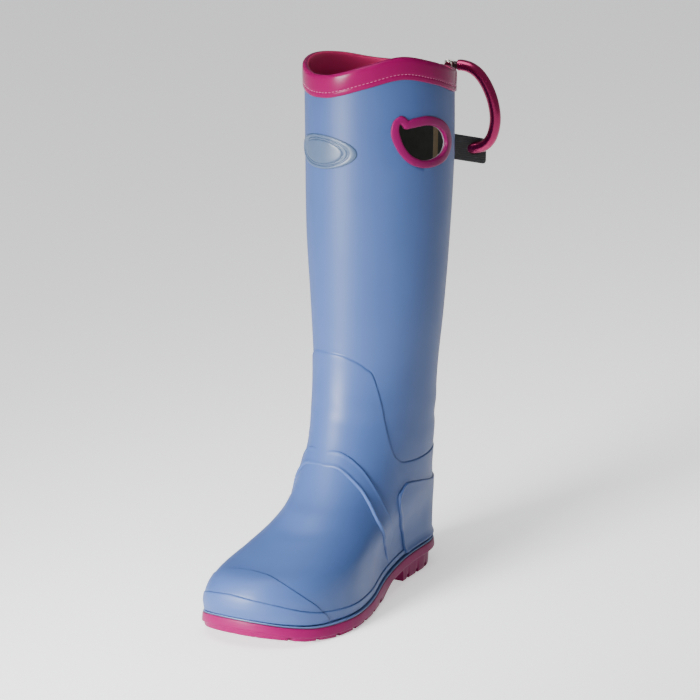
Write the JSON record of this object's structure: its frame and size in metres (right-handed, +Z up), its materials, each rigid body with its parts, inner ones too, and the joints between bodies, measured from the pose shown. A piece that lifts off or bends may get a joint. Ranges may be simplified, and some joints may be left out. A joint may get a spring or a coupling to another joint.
{
  "type": "rubber boot",
  "caption": "Tall hollow rubber boot for a left foot with a lugged heeled sole, wavy bound collar, trimmed hand-holes and a spring clip on a webbing tab behind the shaft.",
  "frame": {"origin": "on the floor under the middle of the heel's tread, 38 mm forward of the back of the sole", "axes": "+Z up the shaft, -Y towards the toe, +X towards the outer (lateral) side of the foot"},
  "size_m": [0.1115, 0.303, 0.4299],
  "materials": {
    "blue_rubber": "matt, softly glossy",
    "pink_sole": "satin",
    "welt_rubber": "matt",
    "footbed": "matt",
    "pink_binding": "satin",
    "badge_rubber": "matt",
    "pink_trim": "satin",
    "black_webbing": "woven",
    "pink_anodised": "anodised, glossy",
    "silver_gate": "satin",
    "steel_pin": "satin"
  },
  "bodies": {
    "boot": {"upper": "blue_rubber", "outsole": "pink_sole", "welt": "welt_rubber", "insole": "footbed", "collar_binding": "pink_binding", "badge": "badge_rubber", "lateral_hole_trim": "pink_trim", "medial_hole_trim": "pink_trim", "pull_tab": "black_webbing", "carabiner_body": "pink_anodised", "carabiner_pin": "steel_pin"},
    "gate": {"carabiner_gate": "silver_gate"}
  },
  "joints": [
    {"name": "gate_hinge", "type": "hinge", "parent": "boot", "child": "gate", "pos_m": [0.01639, 0.05831, 0.4074], "axis": [0.2588, -0.9659, 0], "range_deg": [0, 25], "stiffness_Nm_per_rad": 0.1, "springref_deg": -28.65}
  ]
}
